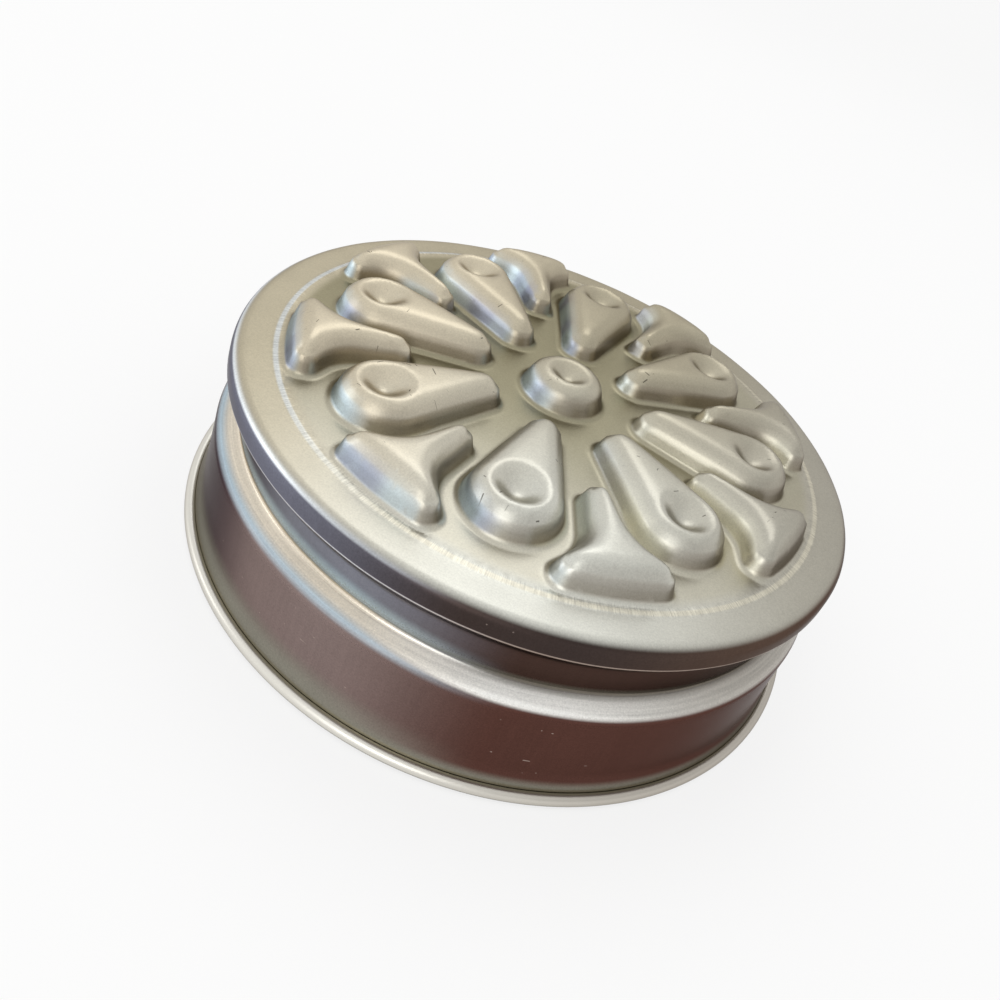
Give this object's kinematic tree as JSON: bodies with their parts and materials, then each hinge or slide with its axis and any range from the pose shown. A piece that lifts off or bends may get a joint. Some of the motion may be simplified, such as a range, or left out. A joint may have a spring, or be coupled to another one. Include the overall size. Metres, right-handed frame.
{
  "type": "round cake pan",
  "caption": "Round shaped cake pan with a stepped wall, a rolled wired rim and a puffy pressed rosette on its face.",
  "frame": {"origin": "centre of the plane that the rim rests on", "axes": "+Z along the pan's axis from the open mouth to the relief; the pan stands mouth down, as in the picture"},
  "size_m": [0.25, 0.25, 0.081],
  "materials": {
    "drawn_aluminium": "satin drawn sheet, matte on the relief, brushed on the shoulder",
    "wire_steel": "plain drawn wire"
  },
  "bodies": {
    "root": {"pan_shell": "drawn_aluminium", "rim_wire": "wire_steel"}
  },
  "joints": []
}
